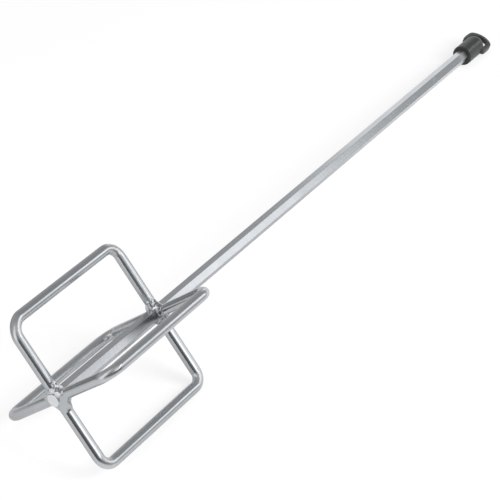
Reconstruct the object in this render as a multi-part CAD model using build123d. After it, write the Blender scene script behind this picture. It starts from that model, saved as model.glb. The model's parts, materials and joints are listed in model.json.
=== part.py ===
from build123d import *
from math import atan2, cos, degrees, sin, sqrt
import os

# Mortar mixing paddle, in millimetres.
#
# The tool is modelled upright in a tool frame: +Z runs up the shaft, the origin is where the four
# arms at the tip cross, and +X is the direction of the first loop. At the end the finished tool is
# laid down the way it rests on a floor: on two loops and on the cap.

# the shaft, a cold-drawn 3/8 inch hexagon bar
BAR_FLATS = 9.5
BAR_BELOW = 5.1
BAR_LENGTH = 595.0
BAR_EDGE = 0.35
BAR_CHAMFER = 0.8

# the mixing head: four loops of round wire in a cross, in order of their turn about the shaft
WIRE = 8.0
LOOP_REACH = 57.0
LOOP_HEIGHT = 112.0
BEND = 10.0
LOOP_NAMES = ["loop_right_low", "loop_left_low", "loop_left_high", "loop_right_high"]

# the weld beads that fill the corners between the arms, and how far each reaches from the axis
WELD_RADIUS = 4.8
CORNERS = {"bottom": (1, 1), "left": (-1, 1), "top": (-1, -1), "right": (1, -1)}
TIP_REACH = {"bottom": 8.2, "left": 8.4, "top": 8.8, "right": 9.8}
NECK_REACH = {"bottom": 8.6, "left": 9.0, "top": 9.2, "right": 8.6}

# the push-on hanger cap, by its heights on the shaft
CAP_MOUTH = 567.7
CAP_SHOULDER = 588.4
CAP_DOME = 589.7
CAP_TIP = 608.0
CAP_RADIUS = 8.65
CAP_TURN = -31.3
MOUTH_ROUND = 0.6
SOCKET_FLATS = 10.1
END_GAP = 0.3
TAB_HALF_WIDTH = 11.4
TAB_THICK = 4.6
TAB_FLANK = 601.9
TAB_CORNER = 1.8
TAB_EDGE = 0.7
SLOT_FOOT = 591.8
SLOT_HALF_WIDTH = 6.9
SLOT_FLANK = 602.3
SLOT_CORNER = 1.0
BOW = 3.0

# sizes that follow from them
BAR_TOP = BAR_LENGTH - BAR_BELOW
WIRE_RADIUS = WIRE / 2


def prism(outline, low, high):
    """A solid of one flat outline between two heights on the shaft."""
    return extrude(Plane.XY.offset(low) * outline, high - low)


def hexagon(flats):
    """A hexagon with one corner on +X and another on -X."""
    return RegularPolygon(radius=flats / sqrt(3), side_count=6)


def shaft():
    """The hexagon bar: its long edges barely rounded, both ends turned to a small chamfer."""
    outline = fillet(hexagon(BAR_FLATS).vertices(), BAR_EDGE)
    turned = prism(Circle(BAR_FLATS / sqrt(3)), -BAR_BELOW, BAR_TOP)
    turned = chamfer(turned.edges().filter_by(GeomType.CIRCLE), BAR_CHAMFER)
    return turned & prism(outline, -BAR_BELOW, BAR_TOP)


def loop(turn, bar):
    """One loop, bent from one wire: an arm, a side and an arm, its ends cut to meet the others."""
    path = FilletPolyline(
        (0, 0, 0), (LOOP_REACH, 0, 0), (LOOP_REACH, 0, LOOP_HEIGHT), (0, 0, LOOP_HEIGHT), radius=BEND
    )
    wire = sweep(Plane.YZ * Circle(WIRE_RADIUS), path=path)
    far = LOOP_REACH + WIRE
    quarter = make_face(Polyline((0, 0), (far, far), (far, -far), close=True))
    return Rot(0, 0, turn) * (wire & prism(quarter, -WIRE, LOOP_HEIGHT + WIRE)) - bar


def weld(corner, reach, height, bar):
    """A bead in the corner between two arms, trimmed where it meets them and the bar."""
    middle = (reach - WELD_RADIUS) / sqrt(2)
    bead = Pos(middle, middle) * Sphere(WELD_RADIUS)
    bead -= extrude(Plane.YZ * Circle(WIRE_RADIUS), LOOP_REACH)
    bead -= extrude(Plane.ZX * Circle(WIRE_RADIUS), LOOP_REACH)
    bead = Pos(0, 0, height) * bead - bar
    bead = max(bead.solids(), key=lambda piece: piece.volume)
    if corner[0] < 0:
        bead = mirror(bead, Plane.YZ)
    if corner[1] < 0:
        bead = mirror(bead, Plane.XZ)
    return bead


def arch(half_width, foot, flank, crown, corner):
    """A flat outline with a straight foot and flanks and an arched crown, its corners rounded."""
    left, right = (-half_width, flank), (half_width, flank)
    sides = Polyline(left, (-half_width, foot), (half_width, foot), right)
    face = make_face(sides + ThreePointArc(right, (0, crown), left))
    return fillet(face.vertices(), corner)


def tab():
    """The flat tab across the end of the cap: a bow round a slot that hangs the tool on a nail."""
    outline = arch(TAB_HALF_WIDTH, CAP_SHOULDER, TAB_FLANK, CAP_TIP, TAB_CORNER)
    slot = arch(SLOT_HALF_WIDTH, SLOT_FOOT, SLOT_FLANK, CAP_TIP - BOW, SLOT_CORNER)
    plate = extrude(Plane.XZ.offset(-TAB_THICK / 2) * (outline - slot), TAB_THICK)
    return fillet(plate.faces().filter_by(Axis.Y).edges(), TAB_EDGE)


def cap():
    """The plastic hanger cap: a sleeve with a domed end and a hexagon socket, and its tab."""
    half = CAP_RADIUS / sqrt(2)
    side = Polyline((0, CAP_MOUTH), (CAP_RADIUS, CAP_MOUTH), (CAP_RADIUS, CAP_DOME))
    dome = ThreePointArc(side @ 1, (half, CAP_DOME + half), (0, CAP_DOME + CAP_RADIUS))
    outline = make_face(side + dome + Line(dome @ 1, side @ 0))
    outline = fillet(outline.vertices().sort_by(Axis.Y)[:2].sort_by(Axis.X)[-1], MOUTH_ROUND)
    sleeve = revolve(Plane.XZ * outline, Axis.Z)
    socket = prism(hexagon(SOCKET_FLATS), CAP_MOUTH, BAR_TOP + END_GAP)
    return sleeve + Rot(0, 0, CAP_TURN) * tab() - socket


def rest_tilt():
    """How far the shaft slopes down to the cap when two loops and the cap touch the floor."""
    tilt = 0.0
    for _ in range(12):
        bend_drop = BEND * sqrt(sin(tilt) ** 2 + cos(tilt) ** 2 / 2)
        loop_drop = cos(tilt) * (LOOP_REACH - BEND) / sqrt(2) + bend_drop + WIRE_RADIUS
        tilt = atan2(loop_drop - CAP_RADIUS, CAP_DOME - (LOOP_HEIGHT - BEND))
    return tilt


def lying_down():
    """The place of the tool frame when the tool lies on the floor, its shaft along +X."""
    tilt = rest_tilt()
    first_loop = (-sin(tilt) / sqrt(2), -1 / sqrt(2), -cos(tilt) / sqrt(2))
    up_the_shaft = (cos(tilt), 0, -sin(tilt))
    return Plane(origin=(0, 0, 0), x_dir=first_loop, z_dir=up_the_shaft).location


def build():
    """Every piece in the tool frame, by its name."""
    bar = shaft()
    pieces = {"hex_shaft": bar, "hanger_cap": cap()}
    for number, name in enumerate(LOOP_NAMES):
        pieces[name] = loop(90 * number, bar)
    for side, corner in CORNERS.items():
        pieces[f"weld_tip_{side}"] = weld(corner, TIP_REACH[side], 0, bar)
        pieces[f"weld_neck_{side}"] = weld(corner, NECK_REACH[side], LOOP_HEIGHT, bar)
    return pieces


def main():
    os.makedirs("parts", exist_ok=True)
    laid = {name: lying_down() * piece for name, piece in build().items()}
    box = Compound(list(laid.values())).bounding_box()
    to_origin = Pos(-box.center().X, 0, -box.min.Z)
    for name, piece in laid.items():
        export_step(to_origin * piece, f"parts/{name}.step")
    print("slope of the shaft", round(degrees(rest_tilt()), 3), "degrees")
    print("where the tip arms cross", (to_origin * lying_down()).position)
    print("whole size", box.size)


main()
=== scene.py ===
# %% [markdown]
# # Mortar mixing paddle
#
# The tool is a hexagon bar with four loops of round wire welded round one end, and a dark plastic
# hanger cap pushed over the other. It lies on a white table: two loops and the cap touch it.
#
# The CAD model is the fixed frame. It says where each piece is and how big it is, and this file gives
# each piece its final surface and finish. Every new shape here is a formula worked out on a grid of
# points with numpy, because then each size in it has a name and can be changed in one place.

import bpy
import json
import math
import numpy as np
from mathutils import Matrix, Vector


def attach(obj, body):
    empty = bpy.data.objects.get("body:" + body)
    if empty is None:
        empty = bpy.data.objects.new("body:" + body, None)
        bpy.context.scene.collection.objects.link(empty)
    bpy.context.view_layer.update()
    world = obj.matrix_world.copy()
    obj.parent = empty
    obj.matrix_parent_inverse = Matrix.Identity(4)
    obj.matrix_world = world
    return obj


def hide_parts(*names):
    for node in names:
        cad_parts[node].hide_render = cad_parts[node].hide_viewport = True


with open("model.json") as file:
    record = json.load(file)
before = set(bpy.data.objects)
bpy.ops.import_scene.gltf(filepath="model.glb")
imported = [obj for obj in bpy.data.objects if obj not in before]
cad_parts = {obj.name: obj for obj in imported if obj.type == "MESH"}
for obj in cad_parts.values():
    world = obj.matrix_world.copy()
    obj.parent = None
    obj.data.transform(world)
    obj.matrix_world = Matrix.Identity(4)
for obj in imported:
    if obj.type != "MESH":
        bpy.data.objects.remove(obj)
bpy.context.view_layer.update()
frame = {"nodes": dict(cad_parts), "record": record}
print("nodes:", sorted(frame["nodes"]))

# %% [markdown]
# ## The tool's own directions
#
# The tool lies tilted and turned on the table, so its shapes are easier to write down in directions
# of its own. Here Z runs up the shaft from the point where the tip arms cross, and X and Y run along
# the first two loops. Lengths in this frame are millimetres. One function then carries a whole array
# of such points to the table, in metres. The frame's record already holds the direction of the shaft
# and the middle of the bar's end face, so neither has to be typed in again.

# %% From tool millimetres to metres on the table
MM = 0.001
BAR_BELOW = 5.1  # how far the bar's end stands below the middle of the tip arms

mounts = {mount["name"]: mount for mount in frame["record"]["mounts"]}
up_shaft = -np.array(mounts["tip_face"]["axis"])
up_shaft /= np.linalg.norm(up_shaft)
to_left = np.array([0.0, 1.0, 0.0])
to_top = np.cross(up_shaft, to_left)
first_loop = -(to_left + to_top) / math.sqrt(2)
second_loop = (to_left - to_top) / math.sqrt(2)
tool_axes = np.array([first_loop, second_loop, up_shaft])
tip_centre = np.array(mounts["tip_face"]["pos_m"]) + BAR_BELOW * MM * up_shaft


def on_table(points):
    """Tool millimetres to metres: each coordinate times its direction, added to the tip's centre."""
    return tip_centre + MM * (np.asarray(points) @ tool_axes)


print("tip arms cross at", tip_centre.round(4), "and the shaft runs along", up_shaft.round(4))

# %% [markdown]
# ## The camera
#
# A small thing is best seen from well back through a long lens, so that its near and far ends keep
# their true proportions. This camera stands a bit over a metre away on the head's side of the tool
# and looks down on it at about forty degrees. Three numbers say where it stands, three say what it
# looks at, and a small roll turns the picture about the line of sight.

# %% Camera
CAMERA_PLACE = Vector((-0.9767, -0.5537, 0.9040))
CAMERA_AIM = Vector((-0.0497, 0.0119, 0.0005))
CAMERA_ROLL = math.radians(2.72)
CAMERA_LENS = 134.13
SENSOR = 36.0

camera_data = bpy.data.cameras.new("camera")
camera_data.lens = CAMERA_LENS
camera_data.sensor_width = SENSOR
camera = bpy.data.objects.new("camera", camera_data)
bpy.context.scene.collection.objects.link(camera)
looking = (CAMERA_AIM - CAMERA_PLACE).to_track_quat("-Z", "Y").to_matrix().to_4x4()
camera.matrix_world = Matrix.Translation(CAMERA_PLACE) @ looking @ Matrix.Rotation(CAMERA_ROLL, 4, "Z")
bpy.context.scene.camera = camera
print("camera stands", round((CAMERA_AIM - CAMERA_PLACE).length, 3), "m from what it looks at")

# %% [markdown]
# ## A shorthand for nodes
#
# A material is a small graph. Each step of it makes a node, sets some of its fields and fills or
# links some of its inputs, so one function does those three things and keeps every recipe short.

# %% Node helpers
def put(tree, kind, inputs=None, **fields):
    """Adds a node: fields are its own settings, inputs are values or sockets by name or number."""
    made = tree.nodes.new(kind)
    for name, value in fields.items():
        setattr(made, name, value)
    for name, value in (inputs or {}).items():
        if isinstance(value, bpy.types.NodeSocket):
            tree.links.new(value, made.inputs[name])
        else:
            made.inputs[name].default_value = value
    return made


def math_node(tree, operation, first, second=0.0):
    """One step of arithmetic on two numbers or sockets."""
    return put(tree, "ShaderNodeMath", {0: first, 1: second}, operation=operation).outputs[0]


def remap(tree, value, low, high, new_low=0.0, new_high=1.0):
    """Stretches low..high to new_low..new_high and clamps what lies outside."""
    inputs = {0: value, 1: low, 2: high, 3: new_low, 4: new_high}
    return put(tree, "ShaderNodeMapRange", inputs).outputs[0]


def blend_colours(tree, mask, first, second):
    """The first colour where the mask is 0 and the second where it is 1."""
    inputs = {0: mask, 6: first, 7: second}
    return put(tree, "ShaderNodeMix", inputs, data_type="RGBA").outputs[2]


def bare_material(name):
    """An empty material. Things that aren't part of the tool build their own surface in it."""
    material = bpy.data.materials.new(name)
    material.use_nodes = True
    material.node_tree.nodes.clear()
    return material, material.node_tree


def new_material(name):
    """A material with a Principled shader already joined to its output."""
    material, tree = bare_material(name)
    shader = put(tree, "ShaderNodeBsdfPrincipled")
    put(tree, "ShaderNodeOutputMaterial", {"Surface": shader.outputs[0]})
    return material, tree, shader


scene = bpy.context.scene
scene.view_settings.view_transform = "Standard"
print("view transform:", scene.view_settings.view_transform)

# %% [markdown]
# ## The white table and the white surround
#
# The background is plain white. The world is white to the camera and in reflections, and gives a
# softer, even light to everything else. The table is a disc that is lit like any surface, so it keeps
# the tool's soft shadow, and a glow of its own lifts it to the white of the surround. The glow is for
# the camera and for reflections only, so it never lights the tool. Towards the rim it takes over
# completely, so that no edge shows.

# %% World and table
SURROUND = 1.0
SOFT_LIGHT = 0.30
TABLE_RADIUS = 0.62
TABLE_FADE = 0.34  # how far out the fade to white begins
TABLE_WHITE = 0.97 * TABLE_RADIUS  # and where it is complete
TABLE_COLOUR = 0.30
TABLE_LIFT = 0.735
DISC_SIDES = 96


def seen_or_mirrored(tree):
    """1 for rays from the camera, off glossy surfaces and through clear ones, and 0 for all others."""
    path = put(tree, "ShaderNodeLightPath").outputs
    seen = math_node(tree, "MAXIMUM", path["Is Camera Ray"], path["Is Glossy Ray"])
    return math_node(tree, "MAXIMUM", seen, path["Is Transmission Ray"])


def white_surround():
    """White where it is seen or mirrored, and a soft even light to everything else."""
    world = bpy.data.worlds.new("surround")
    scene.world = world
    world.use_nodes = True
    tree = world.node_tree
    tree.nodes.clear()
    strength = remap(tree, seen_or_mirrored(tree), 0.0, 1.0, SOFT_LIGHT, SURROUND)
    light = put(tree, "ShaderNodeBackground", {"Color": (1, 1, 1, 1), "Strength": strength})
    put(tree, "ShaderNodeOutputWorld", {"Surface": light.outputs[0]})


def table_material():
    """A diffuse surface, lifted to white and faded out towards the rim."""
    material, tree = bare_material("white_table")
    place = put(tree, "ShaderNodeTexCoord").outputs["Object"]
    reach = put(tree, "ShaderNodeVectorMath", {0: place}, operation="LENGTH").outputs["Value"]
    seen = seen_or_mirrored(tree)
    rim = math_node(tree, "MULTIPLY", remap(tree, reach, TABLE_FADE, TABLE_WHITE), seen)
    plain = put(tree, "ShaderNodeBsdfDiffuse", {"Color": (TABLE_COLOUR,) * 3 + (1,)}).outputs[0]
    lift = math_node(tree, "MULTIPLY", seen, TABLE_LIFT)
    glow = put(tree, "ShaderNodeEmission", {"Strength": lift}).outputs[0]
    lit = put(tree, "ShaderNodeAddShader", {0: plain, 1: glow}).outputs[0]
    white = put(tree, "ShaderNodeEmission", {"Strength": SURROUND}).outputs[0]
    both = put(tree, "ShaderNodeMixShader", {0: rim, 1: lit, 2: white}).outputs[0]
    put(tree, "ShaderNodeOutputMaterial", {"Surface": both})
    return material


def disc(name, radius, height, material):
    """A flat round sheet that isn't part of the tool."""
    turns = np.linspace(0, 2 * np.pi, DISC_SIDES, endpoint=False)
    rim = np.stack([radius * np.cos(turns), radius * np.sin(turns), height + 0 * turns], 1)
    mesh = bpy.data.meshes.new(name)
    mesh.from_pydata(rim.tolist(), [], [list(range(len(rim)))])
    mesh.materials.append(material)
    sheet = bpy.data.objects.new(name, mesh)
    scene.collection.objects.link(sheet)
    return sheet


white_surround()
disc("table", TABLE_RADIUS, 0.0, table_material())
print("table of", 2 * TABLE_RADIUS, "m across")

# %% [markdown]
# ## A tent for the metal to mirror
#
# Bright metal has almost no colour of its own: it shows what stands round it. So a studio for it has
# a grey tent round the thing, with a bright panel where a highlight should run and a black one where a
# dark band should. Here the tent is a dome of points, by their direction from the head of the tool.
# Each panel is a window in azimuth and elevation with a soft edge, and it blends the brightness that
# is there so far towards its own, so a later panel lies over an earlier one. On one side the tent is
# left open to the white surround. A grey sheet covers the table inside it, darker at the sides and
# paler towards the cap. Only reflections see the tent and the sheet: they neither light the tool nor
# cast a shadow, and the camera looks straight through them.

# %% Tent and sheet
HEAD = Vector((-0.24, 0.0, 0.05))
TENT_RADIUS = 1.3
TENT_STEP = 2.0  # degrees between its points
TENT_FOOT = -4.0  # the elevation at which it starts
TENT_GREY = {0: 0.46, 20: 0.38, 50: 0.30, 90: 0.32}  # brightness at some elevations
SOFT_EDGE = 5.0
OPENING = (150.0, 188.0, 74.0)  # azimuth from and to, and up to which elevation
# Middle azimuth and elevation, half width and half height, all in degrees, and brightness
PANELS = {
    "high_light": (-75, 38, 34, 12, 1.80),
    "low_light": (-36.5, 22, 8.5, 12, 1.32),
    "low_dim": (-53, 24, 9, 12, 0.85),
    "dim_back": (92, 0, 30, 7, 0.24),
    "pale_back": (48, -1, 14, 7, 0.50),
    "black": (-118, 6, 49, 17, 0.08),
    "black_top": (-138, 28, 12, 14, 0.16),
    "pale_foot": (-8, 2, 26, 8, 0.75),
    "white_strip": (21, 7, 10, 15, 0.95),
    "pale_side": (-100, 59, 28, 22, 0.58),
    "roof": (0, 90, 180, 14, 0.28),
    "dim_side": (-16, 12, 8, 6, 0.35),
}
SHEET_RADIUS = 1.2
SHEET_HEIGHT = 0.00002  # just clear of the table
SHEET_COLOUR = 0.68
SHEET_FAR_COLOUR = 0.18
SHEET_FADE = (0.16, 0.42)  # how far out the darker colour begins, and where it is complete
SHEET_SQUASH = (0.25, 1.0, 1.0)  # the pale part of the sheet is longer than it is wide
SHEET_BRIGHTER = (0.0, 0.25, 1.0, 1.45)  # from and to which X it gets paler, and from and to how much


def window(distance, half):
    """1 inside half a width and 0 outside it, with a soft edge."""
    share = np.clip((half - distance) / SOFT_EDGE + 0.5, 0, 1)
    return share**2 * (3 - 2 * share)


def only_mirrored(thing):
    """Hides a thing from everything but reflections."""
    thing.visible_camera = False
    thing.visible_diffuse = False
    thing.visible_transmission = False
    thing.visible_shadow = False


def tent():
    """The dome, with the brightness of each point kept as an attribute that its material reads."""
    azimuth = np.arange(0, 360 + TENT_STEP, TENT_STEP)
    elevation = np.arange(TENT_FOOT, 90 + TENT_STEP, TENT_STEP)
    azimuth, elevation = np.meshgrid(azimuth, elevation, indexing="ij")
    glow = np.interp(elevation, list(TENT_GREY), list(TENT_GREY.values()))
    for middle, height, half_width, half_height, brightness in PANELS.values():
        away = np.abs((azimuth - middle + 180) % 360 - 180)
        cover = window(away, half_width) * window(np.abs(elevation - height), half_height)
        glow = glow + (brightness - glow) * cover
    a = np.radians(azimuth)
    e = np.radians(elevation)
    places = np.stack([np.cos(a) * np.cos(e), np.sin(a) * np.cos(e), np.sin(e)], -1)
    places = np.array(HEAD) + TENT_RADIUS * places.reshape(-1, 3)
    corner = np.arange(azimuth.size).reshape(azimuth.shape)
    cells = np.stack([corner[:-1, :-1], corner[1:, :-1], corner[1:, 1:], corner[:-1, 1:]], -1)
    cell_azimuth = azimuth[:-1, :-1] + TENT_STEP / 2
    cell_elevation = elevation[:-1, :-1] + TENT_STEP / 2
    beside = (cell_azimuth < OPENING[0]) | (cell_azimuth > OPENING[1])
    closed = beside | (cell_elevation > OPENING[2])
    mesh = bpy.data.meshes.new("tent")
    mesh.from_pydata(places.tolist(), [], cells[closed].tolist())
    stored = mesh.attributes.new("glow", "FLOAT", "POINT")
    stored.data.foreach_set("value", glow.astype(np.float32).ravel())
    material, tree = bare_material("tent_cloth")
    brightness = put(tree, "ShaderNodeAttribute", attribute_name="glow").outputs["Fac"]
    cloth = put(tree, "ShaderNodeEmission", {"Strength": brightness})
    put(tree, "ShaderNodeOutputMaterial", {"Surface": cloth.outputs[0]})
    material.cycles.emission_sampling = "NONE"
    mesh.materials.append(material)
    dome = bpy.data.objects.new("tent", mesh)
    scene.collection.objects.link(dome)
    return dome


def sheet_material():
    """Plain grey cloth, darker at the sides and paler towards the cap."""
    material, tree = bare_material("grey_sheet")
    place = put(tree, "ShaderNodeTexCoord").outputs["Object"]
    to_cap = put(tree, "ShaderNodeSeparateXYZ", {0: place}).outputs["X"]
    squashed = put(tree, "ShaderNodeVectorMath", {0: place, 1: SHEET_SQUASH}, operation="MULTIPLY")
    reach = put(tree, "ShaderNodeVectorMath", {0: squashed.outputs[0]}, operation="LENGTH").outputs["Value"]
    colour = remap(tree, reach, *SHEET_FADE, SHEET_COLOUR, SHEET_FAR_COLOUR)
    colour = math_node(tree, "MULTIPLY", colour, remap(tree, to_cap, *SHEET_BRIGHTER))
    cloth = put(tree, "ShaderNodeBsdfDiffuse", {"Color": colour})
    put(tree, "ShaderNodeOutputMaterial", {"Surface": cloth.outputs[0]})
    return material


only_mirrored(tent())
only_mirrored(disc("sheet", SHEET_RADIUS, SHEET_HEIGHT, sheet_material()))
print("tent with", len(PANELS), "panels")

# %% [markdown]
# ## Three lamps
#
# The lamps do the rest: they light what isn't a mirror, and give the tool its soft shadow. The key
# lamp lights the long side of the tool that the camera sees, and a weak top lamp fills in from above.
# The front lamp stands beyond the head, because the matt end face of the bar looks that way.
# All are large and stand well back, so the shadow has no hard edge. Reflections don't show them,
# because the tent's panels already stand for them there.

# %% Lamps
def lamp(name, azimuth, elevation, distance, size, brightness, aim=HEAD):
    """A square lamp, placed by its direction from a point. Its power is brightness x pi x its area."""
    a = math.radians(azimuth)
    e = math.radians(elevation)
    way = Vector((math.cos(a) * math.cos(e), math.sin(a) * math.cos(e), math.sin(e)))
    data = bpy.data.lights.new(name, "AREA")
    data.size = size
    data.energy = brightness * math.pi * size**2
    holder = bpy.data.objects.new(name, data)
    scene.collection.objects.link(holder)
    facing = (-way).to_track_quat("-Z", "Y").to_matrix().to_4x4()
    holder.matrix_world = Matrix.Translation(aim + distance * way) @ facing
    holder.visible_camera = False
    holder.visible_glossy = False
    return holder


LAMPS = {  # azimuth, elevation, distance, size and brightness
    "key_lamp": (-66, 34, 1.5, 0.9, 7.5),
    "top_lamp": (60, 78, 1.4, 1.3, 0.6),
    "front_lamp": (168, 24, 1.5, 0.9, 4.5),
}
for name, settings in LAMPS.items():
    lamp(name, *settings)
print("lamps:", sorted(LAMPS))

# %% [markdown]
# ## From a grid of points to a closed piece
#
# Bars, wires, beads and sleeves are all the same kind of surface: a ring of points carried along
# something. As an array that is rows of rings. Neighbouring rings are joined with quads, and each end
# is drawn together to one point, so the piece is closed. The enclosed volume tells whether the faces
# look outwards: if it comes out negative, every face is turned round.

# %% Surface helper
def ring_faces(rows, columns, hoop):
    """Quads between neighbouring rings, then a fan from each end ring to its middle point.

    In a hoop the last ring is joined to the first, and there are no ends to close."""
    corner = np.arange(rows * columns).reshape(rows, columns)
    beside = np.roll(corner, -1, 1)
    quads = np.stack([corner, beside, np.roll(beside, -1, 0), np.roll(corner, -1, 0)], -1)
    if hoop:
        return quads.reshape(-1, 4), np.zeros((0, 3), int)
    first, last = rows * columns, rows * columns + 1
    near = np.stack([beside[0], corner[0], np.full(columns, first)], -1)
    far = np.stack([corner[-1], beside[-1], np.full(columns, last)], -1)
    return quads[:-1].reshape(-1, 4), np.concatenate([near, far])


def with_ends(grid):
    """The rings as one list of points, followed by the middle of the first ring and of the last."""
    grid = grid.reshape(*grid.shape[:2], -1)
    ends = [grid[0].mean(0), grid[-1].mean(0)]
    return np.concatenate([grid.reshape(-1, grid.shape[2]), ends])


def volume_of(points, triangles):
    """The enclosed volume: one sixth of each triangle's triple product with the origin, added up."""
    a, b, c = (points[triangles[:, i]] for i in range(3))
    return np.einsum("ij,ij->", a, np.cross(b, c)) / 6


def ring_piece(name, grid, hoop=False, **values):
    """A closed piece from rings of points in tool millimetres. Values become attributes of the mesh."""
    quads, fans = ring_faces(*grid.shape[:2], hoop)
    points = grid.reshape(-1, 3) if hoop else with_ends(grid)
    triangles = np.concatenate([quads[:, :3], quads[:, [0, 2, 3]], fans])
    volume = volume_of(points, triangles)
    if volume < 0:
        quads, fans = quads[:, ::-1], fans[:, ::-1]
    mesh = bpy.data.meshes.new(name)
    mesh.from_pydata(on_table(points).tolist(), [], quads.tolist() + fans.tolist())
    for label, field in values.items():
        field = with_ends(field)
        wide = field.shape[-1] == 3
        made = mesh.attributes.new(label, "FLOAT_VECTOR" if wide else "FLOAT", "POINT")
        made.data.foreach_set("vector" if wide else "value", field.astype(np.float32).ravel())
    mesh.shade_smooth()
    piece = bpy.data.objects.new(name, mesh)
    scene.collection.objects.link(piece)
    print(f"{name}: {len(mesh.polygons)} faces, {abs(volume) / 1000:.2f} cm3")
    return piece


# %% [markdown]
# ## Effects that the metals share
#
# All the steel went through one plating bath, so its finishes have effects in common. Drawn steel has
# fine lines along its length, because it was pulled through a die. Bright zinc is never quite even:
# it has cloudy patches, a slight ripple, and small nicks from handling. Each effect is a node group,
# built once, which gives a mask or a height between 0 and 1 for the materials to use as they like.

# %% Node groups
DRAWN_OUT = 0.02  # how much slower the lines change along the blank than across it
CLOUD_SCALE = 45.0
RIPPLE_SCALE = 420.0
NICK_SCALE = 260.0
NICK_WIDTH = 0.02
NICKED_SCALE = 160.0  # nicks come in patches of this scale


def new_group(name, inputs, outputs):
    """A shader node group with named float or vector inputs and outputs."""
    group = bpy.data.node_groups.new(name, "ShaderNodeTree")
    for label, kind in inputs.items():
        group.interface.new_socket(label, in_out="INPUT", socket_type=f"NodeSocket{kind}")
    for label, kind in outputs.items():
        group.interface.new_socket(label, in_out="OUTPUT", socket_type=f"NodeSocket{kind}")
    return group, put(group, "NodeGroupInput"), put(group, "NodeGroupOutput")


def drawn_lines_group():
    """Noise stretched along Z, so that it becomes lines along the wire or the bar."""
    group, given, result = new_group(
        "drawn_lines", {"Drawn": "Vector", "Fineness": "Float"}, {"Height": "Float"}
    )
    drawn = given.outputs["Drawn"]
    fineness = given.outputs["Fineness"]
    scale = put(group, "ShaderNodeCombineXYZ", {0: fineness, 1: fineness, 2: DRAWN_OUT}).outputs[0]
    place = put(group, "ShaderNodeVectorMath", {0: drawn, 1: scale}, operation="MULTIPLY").outputs[0]
    noise = put(group, "ShaderNodeTexNoise", {"Vector": place, "Scale": 1.0, "Detail": 3.0})
    group.links.new(noise.outputs["Fac"], result.inputs["Height"])
    return group


def plating_group():
    """Cloud is the soft patchiness of the zinc, Ripple its slight waviness, Nick small scratches."""
    group, given, result = new_group(
        "plating", {"Place": "Vector"}, {"Cloud": "Float", "Ripple": "Float", "Nick": "Float"}
    )
    place = given.outputs["Place"]
    cloudy = {"Vector": place, "Scale": CLOUD_SCALE, "Detail": 4.0, "Roughness": 0.6}
    cloud = put(group, "ShaderNodeTexNoise", cloudy)
    ripple = put(group, "ShaderNodeTexNoise", {"Vector": place, "Scale": RIPPLE_SCALE, "Detail": 2.0})
    netted = {"Vector": place, "Scale": NICK_SCALE}
    cells = put(group, "ShaderNodeTexVoronoi", netted, feature="DISTANCE_TO_EDGE")
    patches = put(group, "ShaderNodeTexNoise", {"Vector": place, "Scale": NICKED_SCALE, "Detail": 1.0})
    scratch = remap(group, cells.outputs["Distance"], 0.0, NICK_WIDTH, 1.0, 0.0)
    here = remap(group, patches.outputs["Fac"], 0.58, 0.66)
    group.links.new(cloud.outputs["Fac"], result.inputs["Cloud"])
    group.links.new(ripple.outputs["Fac"], result.inputs["Ripple"])
    group.links.new(math_node(group, "MULTIPLY", scratch, here), result.inputs["Nick"])
    return group


groups = {"drawn_lines": drawn_lines_group(), "plating": plating_group()}


def use_group(tree, name, inputs):
    """Places a node group in a material."""
    return put(tree, "ShaderNodeGroup", inputs, node_tree=groups[name])


print("node groups:", sorted(groups))

# %% [markdown]
# ## Bright zinc
#
# The bar and the wires are drawn steel under a thin bright zinc plate, a cool pale metal that mirrors
# the studio a little softly. The clouds make it now duller, now brighter. The lines are read from an
# attribute named drawn: each point's place on the straight blank, before it was bent. So they follow
# a wire round its bends, where the coordinates of the finished object would cut across it.
#
# Two more attributes say where the metal looks different. The first is 1 where it was bent, pressed or
# handled and is rougher, and 2 where it was cut and is quite matt: there it no longer mirrors, which
# the Metallic socket turned down to 0 stands for. On the bar it also paints a reflection: a pale matt
# band before the cap. The second is 1 where painted shade darkens the metal.

# %% Zinc-plated drawn steel
PALE_ZINC = (0.67, 0.693, 0.72, 1.0)
DULL_ZINC = (0.606, 0.630, 0.658, 1.0)
# Paler zinc for worked metal, also for the painted reflection on the bar and painted glints on welds
WORKED_AND_SHEEN_ZINC = (0.90, 0.91, 0.92, 1.0)
# The colour of the painted shade on one flat of the bar before the neck
SHADED_ZINC = (0.304, 0.317, 0.331, 1.0)
WORKED_ROUGHNESS = 0.50
NICK_ROUGHNESS = 0.2
RIPPLE_HEIGHT = 0.00004


def attribute(tree, name, output="Fac"):
    """Reads an attribute of the mesh, as a number or a vector."""
    return put(tree, "ShaderNodeAttribute", attribute_name=name).outputs[output]


def zinc_colour(tree, cloud, dulling):
    """Dull to pale with the clouds, paler where worked or a reflection is painted, darker under painted
    shade.
    """
    colour = blend_colours(tree, cloud, DULL_ZINC, PALE_ZINC)
    colour = blend_colours(tree, dulling, colour, WORKED_AND_SHEEN_ZINC)
    return blend_colours(tree, attribute(tree, "heated"), colour, SHADED_ZINC)


def zinc_roughness(tree, cloud, nick, dulling, smooth, rough):
    """Rough to smooth with the clouds, rougher in the nicks and where the metal was worked."""
    roughness = remap(tree, cloud, 0.0, 1.0, rough, smooth)
    roughness = math_node(tree, "ADD", roughness, math_node(tree, "MULTIPLY", nick, NICK_ROUGHNESS))
    added = math_node(tree, "MULTIPLY", dulling, WORKED_ROUGHNESS - smooth)
    return math_node(tree, "ADD", roughness, added)


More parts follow.
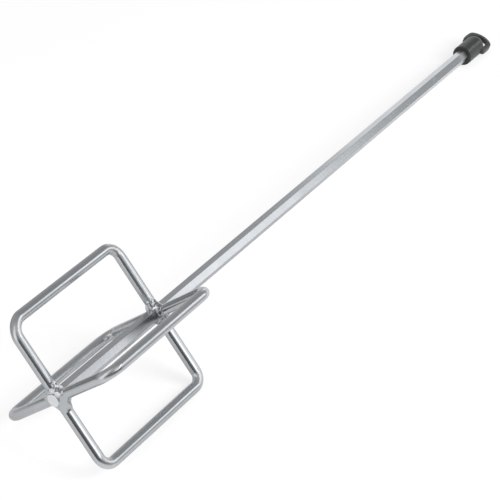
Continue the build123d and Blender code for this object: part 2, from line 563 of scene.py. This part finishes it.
def zinc_material(name, smooth, rough, line_height, fineness):
    """Bright zinc over drawn steel, with a range of roughness and with lines along the blank."""
    material, tree, shader = new_material(name)
    place = put(tree, "ShaderNodeTexCoord").outputs["Object"]
    plating = use_group(tree, "plating", {"Place": place}).outputs
    drawn = {"Drawn": attribute(tree, "drawn", "Vector"), "Fineness": fineness}
    lines = use_group(tree, "drawn_lines", drawn).outputs["Height"]
    cloud = remap(tree, plating["Cloud"], 0.25, 0.75)
    worked = attribute(tree, "worked")
    matt = remap(tree, worked, 1.0, 2.0)
    uneven = remap(tree, plating["Cloud"], 0.2, 0.6, 0.35, 0.5)
    dulling = math_node(tree, "MULTIPLY", worked, uneven)
    streaks = put(tree, "ShaderNodeBump", {"Height": lines, "Distance": line_height, "Strength": 1.0})
    rippled = {"Height": plating["Ripple"], "Distance": RIPPLE_HEIGHT, "Normal": streaks.outputs[0]}
    normal = put(tree, "ShaderNodeBump", {**rippled, "Strength": 1.0}).outputs[0]
    roughness = zinc_roughness(tree, cloud, plating["Nick"], dulling, smooth, rough)
    tree.links.new(math_node(tree, "SUBTRACT", 1.0, matt), shader.inputs["Metallic"])
    tree.links.new(zinc_colour(tree, cloud, dulling), shader.inputs["Base Color"])
    tree.links.new(roughness, shader.inputs["Roughness"])
    tree.links.new(normal, shader.inputs["Normal"])
    return material


wire_zinc = zinc_material("wire_zinc", 0.10, 0.17, line_height=0.000012, fineness=1.5)
bar_zinc = zinc_material("bar_zinc", 0.20, 0.25, line_height=0.000010, fineness=1.2)
print("zinc finishes:", wire_zinc.name, bar_zinc.name)

# %% [markdown]
# ## The four loops
#
# Each loop is one piece of round wire, bent twice and welded at both ends. Its centre line is easiest
# to describe by its direction: straight along the arm, then turning at a steady rate through a right
# angle, straight up the side, turning again, and straight back. Adding up small steps in that
# direction gives the line itself.

# %% Loop centre line
WIRE_RADIUS = 4.0
LOOP_REACH = 56.98
LOOP_HEIGHT = 112.0
ARM_START = 3.0  # inside the bar, where the wire's end is out of sight


def wire_line(tip_bend, neck_bend, count):
    """Distance along the wire, its turn so far, and its centre line as distance out and height.

    The wire runs out, turns a quarter with the first radius, runs up, and turns a quarter with the
    second. Along each bend the turn grows evenly, by one over the radius for each millimetre."""
    quarters = tip_bend * math.pi / 2, neck_bend * math.pi / 2
    arms = LOOP_REACH - tip_bend - ARM_START, LOOP_REACH - neck_bend - ARM_START
    side = LOOP_HEIGHT - tip_bend - neck_bend
    starts = arms[0], arms[0] + quarters[0] + side
    along = np.linspace(0, arms[0] + quarters[0] + side + quarters[1] + arms[1], count)
    turn = np.clip(along - starts[0], 0, quarters[0]) / tip_bend
    turn += np.clip(along - starts[1], 0, quarters[1]) / neck_bend
    middle = (turn[1:] + turn[:-1]) / 2
    step = np.diff(along)
    out = ARM_START + np.append(0, np.cumsum(step * np.cos(middle)))
    height = np.append(0, np.cumsum(step * np.sin(middle)))
    bend_middles = starts[0] + quarters[0] / 2, starts[1] + quarters[1] / 2
    return along, turn, out, height, bend_middles


along, turn = wire_line(10.0, 10.0, 320)[:2]
print("one wire is", round(along[-1]), "mm long and turns", round(math.degrees(turn[-1])), "degrees")

# %% [markdown]
# A ring of points goes along that line. A press makes such tight bends. It pinches the wire a little
# there and leaves fine creases across the inside, and between the bends the wire is never quite
# straight. The four loops aren't quite alike: the radii of their bends differ a little, and two of the
# wires are slightly duller.

# %% Loop surface
PRESS_LENGTH = 6.5  # how far to each side of a bend's middle the press reaches
PINCH = 0.19
CREASE = 0.06
CREASE_SPACING = 2.3
SWAY = 0.05
SWAYS = 3  # how often the wire sways along its length
BLANK_APART = 300.0  # moves each wire's lines along, so that no two wires have the same ones


def loop_grid(bends, seed, rows=320, columns=64):
    """A ring of wire carried along the loop's centre line, pinched a little at its two bends.

    The pinch is the exponential of minus the fourth power of the distance from a bend's middle. The
    creases are a cosine along the wire, on the inside of the ring only, as strong as the pinch. The
    sway is a squared sine along the wire."""
    *line, middles = wire_line(*bends, rows)
    along, turn, out, height = (value[:, None] for value in line)
    around = np.linspace(0, 2 * np.pi, columns, endpoint=False)[None, :]
    chance = np.random.default_rng(seed)
    press = sum(np.exp(-(((along - middle) / PRESS_LENGTH) ** 4)) for middle in middles)
    creases = np.cos(2 * np.pi * along / CREASE_SPACING + chance.uniform(0, 6))
    creases = creases * np.clip(-np.cos(around), 0, 1) ** 3
    sway = SWAY * np.sin(np.pi * along / along[-1] * SWAYS + chance.uniform(0, 6)) ** 2
    radius = WIRE_RADIUS - PINCH * press
    in_plane = radius * np.cos(around) + CREASE * press * creases - sway
    across = radius * np.sin(around)
    points = np.stack([out + in_plane * np.sin(turn), across, height - in_plane * np.cos(turn)], -1)
    blank = np.broadcast_arrays(WIRE_RADIUS * np.cos(around), WIRE_RADIUS * np.sin(around), along)
    return points, np.stack(blank, -1), press + 0 * around


LOOPS = {  # the radius of the bend at the tip and at the neck, and how dull the wire is
    "loop_right_low": (8.6, 8.4, 0.0),
    "loop_left_low": (10.0, 10.0, 0.35),
    "loop_left_high": (12.0, 9.7, 0.0),
    "loop_right_high": (10.0, 10.0, 0.35),
}


def turned(points, angle):
    """Points turned about the shaft by an angle."""
    c = math.cos(angle)
    s = math.sin(angle)
    return points @ np.array([[c, s, 0], [-s, c, 0], [0, 0, 1]])


for number, (name, (*bends, dull)) in enumerate(LOOPS.items()):
    shape, blank, press = loop_grid(bends, seed=number)
    shape = turned(shape, number * math.pi / 2)
    blank = blank + [0, 0, BLANK_APART * number]
    wire = ring_piece(f"wire_{name}", shape, drawn=blank, worked=np.maximum(press, dull))
    wire.data.materials.append(wire_zinc)
    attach(wire, "paddle")
    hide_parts(name)

# %% [markdown]
# ## The hexagon bar
#
# The shaft is cold-drawn hexagon bar. Its outline is six flats joined by very small rounds, and each
# end was turned in a lathe to a small chamfer, which leaves the end face a round disc. One side of the
# outline is worked out once and turned six times. Points crowd close to the edges of each flat, so
# that the smooth shading of the rounds doesn't spread over the flats and make them look soft.

# %% Hexagon bar outline
BAR_FLATS = 9.5
BAR_EDGE = 0.35
FLAT_STEPS = (-0.98, -0.9, -0.6, -0.2, 0.2, 0.6, 0.9, 0.98)  # shares of half a flat


def hexagon_outline(flats, edge, round_steps=6):
    """Six flats with a circular round at each corner, as points round the outline from +X."""
    apothem = flats / 2
    corner = (apothem - edge) / math.cos(math.pi / 6)
    swing = np.linspace(-math.pi / 6, math.pi / 6, round_steps)
    rounds = np.stack([corner + edge * np.cos(swing), edge * np.sin(swing)], -1)
    half = (apothem - edge) * math.tan(math.pi / 6)
    steps = half * np.array(FLAT_STEPS)
    outward = np.array([math.cos(math.pi / 6), math.sin(math.pi / 6)])
    along = np.array([-math.sin(math.pi / 6), math.cos(math.pi / 6)])
    flat = apothem * outward + steps[:, None] * along
    side = np.concatenate([rounds, flat])
    turns = np.arange(6) * math.pi / 3
    spin = np.array([[np.cos(turns), np.sin(turns)], [-np.sin(turns), np.cos(turns)]]).transpose(2, 0, 1)
    return np.einsum("pi,sij->spj", side, spin).reshape(-1, 2)


print("points round the bar:", len(hexagon_outline(BAR_FLATS, BAR_EDGE)))

# %% [markdown]
# The outline then goes up the shaft. Near each end it is cut back to what is left inside the cone of
# the lathe tool, and rings that shrink to the middle make the end face.
#
# Two places on the bar look different. For the last centimetre before the cap the plating is matt
# and paler, a painted reflection of the lit table under the bar. And before the neck one flat is
# darker, painted shade under the arms of the neck. Both causes are guesses. An attribute says where
# each place is.

# %% Hexagon bar surface
BAR_CHAMFER = 0.8
BAR_TOP = 589.9
BODY_START = 1.2 * BAR_CHAMFER  # the first ring after the chamfer
SHARP_ANGLE = math.radians(28)
CUT = 2.0  # how worked a freshly cut face is
PALE_BAND = 1.05  # how worked the bar is along its band of painted reflection
PALE_BAND_MIDDLE = 568.0
PALE_BAND_LENGTH = 9.0
PAINTED_SHADE_SPAN = (62.0, 88.0)  # from where the painted shade on the flat begins, and where it is as dark as it gets
ON_FLAT = 0.49 * BAR_FLATS  # a point farther out to one side than this lies on the flat there


def bar_grid():
    """The outline carried up the shaft and cut back at both ends by a cone, then the end faces.

    The cone's radius grows by one millimetre for each millimetre from the end. Where it is smaller
    than a point's distance from the axis, the point is drawn in to it."""
    outline = hexagon_outline(BAR_FLATS, BAR_EDGE)
    reach = np.linalg.norm(outline, axis=1)
    end = BAR_FLATS / math.sqrt(3) - BAR_CHAMFER
    length = BAR_BELOW + BAR_TOP
    chamfer = np.linspace(0, BAR_CHAMFER, 15)
    body = np.linspace(BODY_START, length - BODY_START, 200)
    up = np.concatenate([chamfer, body, length - chamfer[::-1]])
    from_end = np.minimum(up, length - up)
    turned_to = np.minimum(1, (end + from_end)[:, None] / reach[None, :])
    height = np.broadcast_to((up - BAR_BELOW)[:, None, None], (len(up), len(outline), 1))
    sides = np.concatenate([outline[None] * turned_to[..., None], height], -1)
    shrink = np.linspace(0.05, 0.995, 12)[:, None, None]
    inwards = np.concatenate([shrink, shrink, np.ones_like(shrink)], 2)
    near = sides[0] * inwards
    far = sides[-1] * inwards
    grid = np.concatenate([near, sides, far[::-1]])
    on_face = np.concatenate([np.ones(len(near)), np.zeros(len(sides)), np.ones(len(far))])
    return grid, np.repeat(on_face[:, None], grid.shape[1], 1)


bar_points, end_faces = bar_grid()
up_bar = bar_points[..., 2]
# Painted reflection: a pale matt band on the bar before the cap
paler_patch = PALE_BAND * np.exp(-(((up_bar - PALE_BAND_MIDDLE) / PALE_BAND_LENGTH) ** 4))
# Painted shade: one flat darkens towards the neck
share = np.clip((up_bar - PAINTED_SHADE_SPAN[0]) / (PAINTED_SHADE_SPAN[1] - PAINTED_SHADE_SPAN[0]), 0, 1)
dark_flat = (up_bar < LOOP_HEIGHT) & (bar_points[..., 1] < -ON_FLAT)
heated = share**2 * (3 - 2 * share) * dark_flat
worked = CUT * end_faces + paler_patch
bar = ring_piece("bar", bar_points, drawn=bar_points, worked=worked, heated=heated)
bar.data.materials.append(bar_zinc)
bar.data.set_sharp_from_angle(angle=SHARP_ANGLE)
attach(bar, "paddle")
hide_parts("hex_shaft")

# %% [markdown]
# ## The weld beads
#
# A bead of weld metal fills each corner between two arms, at the tip and at the neck. It runs from one
# arm into the other in a smooth hollow, so its middle is a short bent tube: an oval ring carried along
# a quarter circle that leaves one arm's axis and arrives at the other's. Both ends of it are inside
# the arms. Real beads are lumpy, so the tube is pushed in and out by a sum of random waves, and some
# have small pits where gas escaped. The pits are kept as an attribute, and shade is painted in them.

# %% Weld bead surface
BEAD_ENDS = math.radians(4)  # how far each end runs on past the quarter circle
BEAD_END = 3.55  # half its width and height inside the arms
LUMP_SIZE = 5.0
FINE_LUMP_SIZE = 2.2
FINE_LUMPS = 0.1  # their height as a share of the large ones
PIT_WIDTH = (0.5, 0.9)
PIT_DEPTH = 0.75
PITS_AT_MOST = 1.3  # of that depth, where pits overlap


def lumps(points, size, seed, count=14):
    """A sum of random plane waves, each about the given size across, mostly between -1 and 1."""
    chance = np.random.default_rng(seed)
    direction = chance.normal(size=(count, 3))
    direction /= np.linalg.norm(direction, axis=1, keepdims=True)
    pace = 2 * np.pi / (size * chance.uniform(0.7, 1.5, count))
    phase = chance.uniform(0, 2 * np.pi, count)
    waves = np.sin(points @ (direction * pace[:, None]).T + phase)
    return waves.sum(-1) / math.sqrt(count / 2) / 1.6


def bead_grid(reach, middle, tall, bumpy, pits, seed, rows=72, columns=120):
    """A bent oval tube from the +X arm to the +Y arm, with lumps and pits added to its radius.

    The half width and half height swell from the ends to the middle by a sine to the power 0.8. The
    centre line is a quarter circle, of the radius that puts the outside of the bead's middle at the
    reach from the axis. A pit is a bell curve of the distance from its centre."""
    share = np.linspace(0, 1, rows)[:, None]
    alpha = -BEAD_ENDS + share * (math.pi / 2 + 2 * BEAD_ENDS)
    around = np.linspace(0, 2 * np.pi, columns, endpoint=False)[None, :]
    swell = np.sin(math.pi * share) ** 0.8
    wide = BEAD_END + (middle - BEAD_END) * swell
    high = BEAD_END + (tall - BEAD_END) * swell
    fillet = (reach - middle) / (math.sqrt(2) - 1)
    radial = wide * np.cos(around)
    upward = high * np.sin(around)
    x = fillet - (fillet - radial) * np.sin(alpha)
    y = fillet - (fillet - radial) * np.cos(alpha)
    smooth = np.stack([x, y, upward + 0 * alpha], -1)
    x = np.cos(around) * np.sin(alpha)
    y = np.cos(around) * np.cos(alpha)
    outward = np.stack([x, y, np.sin(around) + 0 * alpha], -1)
    push = lumps(smooth, LUMP_SIZE, seed) + FINE_LUMPS * lumps(smooth, FINE_LUMP_SIZE, seed + 50)
    chance = np.random.default_rng(seed + 100)
    rows_hit = chance.integers(rows // 5, rows * 4 // 5, pits)
    columns_hit = chance.integers(-columns // 4, columns // 4, pits)
    centres = smooth[rows_hit, columns_hit]
    width = chance.uniform(*PIT_WIDTH, pits)
    distance = np.linalg.norm(smooth[:, :, None] - centres, axis=-1)
    pit = np.exp(-((distance / width) ** 2)).sum(-1)
    push = bumpy * push - PIT_DEPTH * np.clip(pit, 0, PITS_AT_MOST)
    return smooth + outward * push[..., None], np.clip(pit, 0, 1)


print("rings and points in a bead:", bead_grid(8.3, 4.2, 4.4, 0.0, 0, seed=0)[0].shape[:2])

# %% [markdown]
# The beads differ from corner to corner, so each has its own numbers: its shape, how many pits it has,
# and two for its look. The first paints glints: pale matt patches on some beads that the lamps light
# up white. Shade is painted shade: how much of the metal's brightness is left, less at the neck.

# %% Weld beads
# How far out, half its width and height in the middle, lumps, pits, painted glints, painted shade
TIP_BEADS = {
    "bottom": (8.1, 4.2, 4.4, 0.10, 1, 0.45, 1.0),
    "left": (8.3, 4.2, 4.4, 0.22, 2, 0.5, 1.0),
    "top": (8.7, 4.3, 4.5, 0.50, 5, 1.0, 1.0),
    "right": (9.8, 4.6, 4.7, 0.07, 0, 0.0, 1.0),
}
NECK_BEADS = {
    "bottom": (8.3, 4.2, 4.4, 0.35, 3, 0.0, 0.7),
    "left": (8.5, 4.2, 4.4, 0.50, 4, 0.9, 0.7),
    "top": (8.6, 4.2, 4.4, 0.55, 4, 1.0, 0.7),
    "right": (8.3, 4.2, 4.4, 0.45, 4, 0.9, 0.6),
}
CORNERS = {"bottom": (1, 1), "left": (-1, 1), "top": (-1, -1), "right": (1, -1)}
BLACK = (0.0, 0.0, 0.0, 1.0)
# The colour of the painted shade in the pits
PIT_SHADE = (0.03, 0.03, 0.035, 1.0)
# Painted glints: pale matt patches of this scale that the lamps light up white
GLINT_SCALE = 330.0
GLINT_COVER = 0.7  # how much of the metal's mirror the painted glints take away
WELD_RIPPLE = 0.00002


def weld_material():
    """Plated weld metal: rougher and more uneven than the wire, painted shade in pits and at the neck,
    painted glints in patches.
    """
    material, tree, shader = new_material("weld_zinc")
    place = put(tree, "ShaderNodeTexCoord").outputs["Object"]
    plating = use_group(tree, "plating", {"Place": place}).outputs
    cloud = remap(tree, plating["Cloud"], 0.3, 0.7)
    patches = put(tree, "ShaderNodeTexNoise", {"Vector": place, "Scale": GLINT_SCALE, "Detail": 2.0})
    patches = remap(tree, patches.outputs["Fac"], 0.48, 0.56)
    # Painted glints in patches, where a bead has them
    glint_mask = math_node(tree, "MULTIPLY", attribute(tree, "painted_glint"), patches)
    # Painted shade in the pits
    pit_shade = remap(tree, attribute(tree, "pit"), 0.35, 0.9)
    colour = blend_colours(tree, cloud, DULL_ZINC, PALE_ZINC)
    # Painted shade: darker beads at the neck
    colour = blend_colours(tree, attribute(tree, "shade"), BLACK, colour)
    colour = blend_colours(tree, glint_mask, colour, WORKED_AND_SHEEN_ZINC)
    colour = blend_colours(tree, pit_shade, colour, PIT_SHADE)
    covered = math_node(tree, "MULTIPLY", glint_mask, GLINT_COVER)
    bump = put(tree, "ShaderNodeBump", {"Height": plating["Ripple"], "Distance": WELD_RIPPLE})
    tree.links.new(math_node(tree, "SUBTRACT", 1.0, covered), shader.inputs["Metallic"])
    tree.links.new(colour, shader.inputs["Base Color"])
    tree.links.new(remap(tree, cloud, 0.0, 1.0, 0.22, 0.13), shader.inputs["Roughness"])
    tree.links.new(bump.outputs[0], shader.inputs["Normal"])
    return material


weld_zinc = weld_material()
for end, height, beads in (("tip", 0.0, TIP_BEADS), ("neck", LOOP_HEIGHT, NECK_BEADS)):
    for number, (side, (*sizes, pits, painted_glint, shade)) in enumerate(beads.items()):
        points, pit = bead_grid(*sizes, pits, seed=7 * number + int(height))
        points = points * [*CORNERS[side], 1.0] + [0, 0, height]
        # Painted glints and painted shade for this bead
        looks = {"pit": pit, "painted_glint": painted_glint + 0 * pit, "shade": shade + 0 * pit}
        bead = ring_piece(f"bead_{end}_{side}", points, **looks)
        bead.data.materials.append(weld_zinc)
        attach(bead, "paddle")
        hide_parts(f"weld_{end}_{side}")

# %% [markdown]
# ## The hanger cap
#
# The cap is one moulding: a round sleeve with a domed end, and across the end a flat tab with a slot,
# by which the tool hangs on a nail. The sleeve is a profile turned about the shaft, whose rings change
# from circle to hexagon on the way in, because the socket grips the bar. The tab is a rounded rectangle
# carried round between two outlines, the outer edge and the slot. A union joins the two into one skin,
# and a fine remesh gives the joint its moulded radius.

# %% Cap sleeve
CAP_MOUTH = 567.7
CAP_DOME = 589.7  # where the sleeve ends and its dome begins
CAP_RADIUS = 8.65
RIM = 0.6  # rounding of the sleeve's outer edge
LIP = 0.3  # rounding of the socket's edge
SOCKET_FLATS = 9.9
SOCKET_END = BAR_TOP + 0.3


def arc(centre, radius, start, end, count):
    """Points on a circular arc in a profile of distance from the axis and height."""
    angle = np.radians(np.linspace(start, end, count))
    return np.stack([centre[0] + radius * np.cos(angle), centre[1] + radius * np.sin(angle)], -1)


def sleeve_grid(columns=144):
    """The dome and the outside down to the rim, the flat end face, then the lip and the socket.

    A hexagon's edge stands at half its width across flats, divided by the cosine of the turn away
    from the nearest flat. On the end face each ring is a mix of the rim's circle and that hexagon."""
    turns = np.linspace(0, 2 * np.pi, columns, endpoint=False)
    circle = np.stack([np.cos(turns), np.sin(turns)], -1)
    hexagon = circle / np.cos(turns % (np.pi / 3) - np.pi / 6)[:, None]
    outside = np.concatenate([
        arc((0.0, CAP_DOME), CAP_RADIUS, 88.5, 0, 44),
        np.linspace((CAP_RADIUS, CAP_DOME - 0.4), (CAP_RADIUS, CAP_MOUTH + RIM + 0.3), 40),
        arc((CAP_RADIUS - RIM, CAP_MOUTH + RIM), RIM, 0, -90, 12),
    ])
    lip = arc((SOCKET_FLATS / 2 + LIP, CAP_MOUTH + LIP), LIP, -90, -180, 6)
    socket = np.linspace((SOCKET_FLATS / 2, CAP_MOUTH + LIP + 0.4), (SOCKET_FLATS / 2, SOCKET_END), 24)
    bottom = np.linspace((0.8 * SOCKET_FLATS / 2, SOCKET_END), (0.05, SOCKET_END), 5)
    inside = np.concatenate([lip, socket, bottom])
    mix = np.linspace(0, 1, 7)[1:-1]
    face = [(1 - share) * (CAP_RADIUS - RIM) * circle + share * inside[0, 0] * hexagon for share in mix]
    rings = [np.concatenate([radius * circle, np.full((columns, 1), z)], 1) for radius, z in outside]
    rings += [np.concatenate([ring, np.full((columns, 1), CAP_MOUTH)], 1) for ring in face]
    rings += [np.concatenate([size * hexagon, np.full((columns, 1), z)], 1) for size, z in inside]
    return np.array(rings)


print("rings in the sleeve:", len(sleeve_grid()))

# %% [markdown]
# The tab's outer edge and its slot have the same kind of outline: a straight foot, two straight flanks
# and an arched top. From a point inside both, each of those edges is at some distance in every
# direction, and the outline is simply the nearest of them.

# %% Cap tab
CAP_SHOULDER = 588.4  # the foot of the tab
CAP_TIP = 608.0
CAP_TURN = math.radians(-31.3)
TAB_HALF_WIDTH = 11.4
TAB_THICK = 4.6
TAB_FLANK = 601.9  # where the flanks end and the arched top begins
TAB_EDGE = 0.7  # rounding of the tab's edges
TAB_CENTRE = 598.0  # the point inside both outlines
TAB_SHARPNESS = 11
SLOT_FOOT = 591.8
SLOT_HALF_WIDTH = 6.9
SLOT_FLANK = 602.3
SLOT_SHARPNESS = 14
BOW = 3.0  # from the top of the slot to the tip
TINY = 1e-3  # keeps an edge that a direction never meets at a large distance


def arch_outline(half_width, foot, crown, shoulder, sharpness, turns):
    """Straight foot and flanks under a crown that is an arc, as distances from a point inside it.

    Each edge gives its own distance in every direction, and the outline takes the nearest. A softened
    minimum, a sum of high negative powers, rounds the corners."""
    across = np.sin(turns)
    up = np.cos(turns)
    flank = half_width / np.maximum(np.abs(across), TINY)
    down = (TAB_CENTRE - foot) / np.maximum(-up, TINY)
    drop = crown - shoulder
    radius = (half_width**2 + drop**2) / (2 * drop)
    centre = crown - radius - TAB_CENTRE
    top = up * centre + np.sqrt(radius**2 - (across * centre) ** 2)
    power = -sharpness
    distance = (flank**power + down**power + top**power) ** (1 / power)
    return np.stack([distance * across, TAB_CENTRE + distance * up], -1)


def tab_grid(steps=160, columns=48):
    """A rounded rectangle carried round the tab, between the slot's outline and the outer one.

    A quarter circle at each corner and a straight jump between them: the sign of the cosine or sine
    says which corner a point belongs to."""
    turns = np.linspace(0, 2 * np.pi, steps, endpoint=False)
    outer = arch_outline(TAB_HALF_WIDTH, CAP_SHOULDER, CAP_TIP, TAB_FLANK, TAB_SHARPNESS, turns)
    inner = arch_outline(SLOT_HALF_WIDTH, SLOT_FOOT, CAP_TIP - BOW, SLOT_FLANK, SLOT_SHARPNESS, turns)
    width = np.linalg.norm(outer - inner, axis=1)[:, None]
    way = (outer - inner) / width
    around = np.linspace(0, 2 * np.pi, columns, endpoint=False)[None, :]
    along = width / 2 + np.sign(np.cos(around)) * (width / 2 - TAB_EDGE) + TAB_EDGE * np.cos(around)
    thick = np.sign(np.sin(around)) * (TAB_THICK / 2 - TAB_EDGE) + TAB_EDGE * np.sin(around) + 0 * width
    flat = inner[:, None] + along[..., None] * way[:, None]
    return np.stack([flat[..., 0], thick, flat[..., 1]], -1)


print("points round the tab:", tab_grid().shape[0])

# %% [markdown]
# A union leaves a sharp crease where the tab meets the sleeve, and a moulding has none. A voxel remesh
# rebuilds the skin in small even squares, and a few rounds of smoothing turn the crease into a radius.
#
# The plastic is dark grey and satin, with a fine grain. The tab's outer parts, which stand proud of
# the sleeve, and its top are a little paler. An attribute says where: it is worked out from each
# point's distance off the axis and its height.

# %% Join sleeve and tab
VOXEL = 0.22 * MM
SMOOTHING = 6
PLASTIC = (0.021, 0.024, 0.0235, 1.0)
PATCHY_PLASTIC = (0.031, 0.035, 0.034, 1.0)
PALE_PLASTIC = (0.066, 0.071, 0.069, 1.0)
GRAIN_SCALE = 2600.0
GRAIN_HEIGHT = 0.00012
PATCH_SCALE = 180.0
PALE_OUT = (8.8, 0.8)  # from which distance off the axis the plastic is paler, and over how much
PALE_UP = (601.0, 2.5)  # and from which height


def plastic_material():
    """Dark grey moulded plastic: satin, with a fine spark-eroded grain and slightly uneven gloss."""
    material, tree, shader = new_material("cap_plastic")
    place = put(tree, "ShaderNodeTexCoord").outputs["Object"]
    grain = put(tree, "ShaderNodeTexNoise", {"Vector": place, "Scale": GRAIN_SCALE, "Detail": 3.0})
    patch = put(tree, "ShaderNodeTexNoise", {"Vector": place, "Scale": PATCH_SCALE, "Detail": 3.0})
    patch = remap(tree, patch.outputs["Fac"], 0.35, 0.65)
    colour = blend_colours(tree, patch, PLASTIC, PATCHY_PLASTIC)
    colour = blend_colours(tree, attribute(tree, "paler_patch"), colour, PALE_PLASTIC)
    grained = {"Height": grain.outputs["Fac"], "Distance": GRAIN_HEIGHT, "Strength": 0.6}
    bump = put(tree, "ShaderNodeBump", grained)
    tree.links.new(colour, shader.inputs["Base Color"])
    tree.links.new(remap(tree, patch, 0.0, 1.0, 0.30, 0.38), shader.inputs["Roughness"])
    tree.links.new(bump.outputs[0], shader.inputs["Normal"])
    return material


cap = ring_piece("cap", sleeve_grid())
tab = ring_piece("cap_tab", turned(tab_grid(), CAP_TURN), hoop=True)
union = cap.modifiers.new("union", "BOOLEAN")
union.operation = "UNION"
union.solver = "EXACT"
union.object = tab
remesh = cap.modifiers.new("remesh", "REMESH")
remesh.mode = "VOXEL"
remesh.voxel_size = VOXEL
smooth = cap.modifiers.new("smooth", "SMOOTH")
smooth.factor = 0.5
smooth.iterations = SMOOTHING
joined = bpy.data.meshes.new_from_object(cap.evaluated_get(bpy.context.evaluated_depsgraph_get()))
cap.modifiers.clear()
cap.data = joined
bpy.data.objects.remove(tab)
cap.data.shade_smooth()
places = np.zeros(3 * len(cap.data.vertices), np.float32)
cap.data.vertices.foreach_get("co", places)
places = (places.reshape(-1, 3) - tip_centre) @ tool_axes.T / MM
out = (np.linalg.norm(places[:, :2], axis=1) - PALE_OUT[0]) / PALE_OUT[1]
up = (places[:, 2] - PALE_UP[0]) / PALE_UP[1]
paler_patch = np.maximum(np.clip(out, 0, 1), np.clip(up, 0, 1))
stored = cap.data.attributes.new("paler_patch", "FLOAT", "POINT")
stored.data.foreach_set("value", paler_patch.astype(np.float32))
cap.data.materials.clear()
cap.data.materials.append(plastic_material())
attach(cap, "cap")
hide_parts("hanger_cap")
print("cap:", len(cap.data.polygons), "faces")

# %% [markdown]
# ## A highlight on the cap
#
# A dark satin plastic shows its roundness by one soft streak of light. The lamps above are hidden from
# reflections so that the wires mirror only the tent, and the cap would stay flat. One small lamp is
# linked to the cap alone, so that its streak falls on the sleeve and nowhere else.

# %% Streak lamp
STREAK_PLACE = Vector((0.28, 0.0, 0.06))  # the sleeve of the cap
STREAK_LAMP = (-27, 19, 0.6, 0.16, 3.6)  # azimuth, elevation, distance, size and brightness

streak_lamp = lamp("streak_lamp", *STREAK_LAMP, aim=STREAK_PLACE)
streak_lamp.visible_glossy = True
lit_by_it = bpy.data.collections.new("lit_by_streak_lamp")
lit_by_it.objects.link(cap)
streak_lamp.light_linking.receiver_collection = lit_by_it
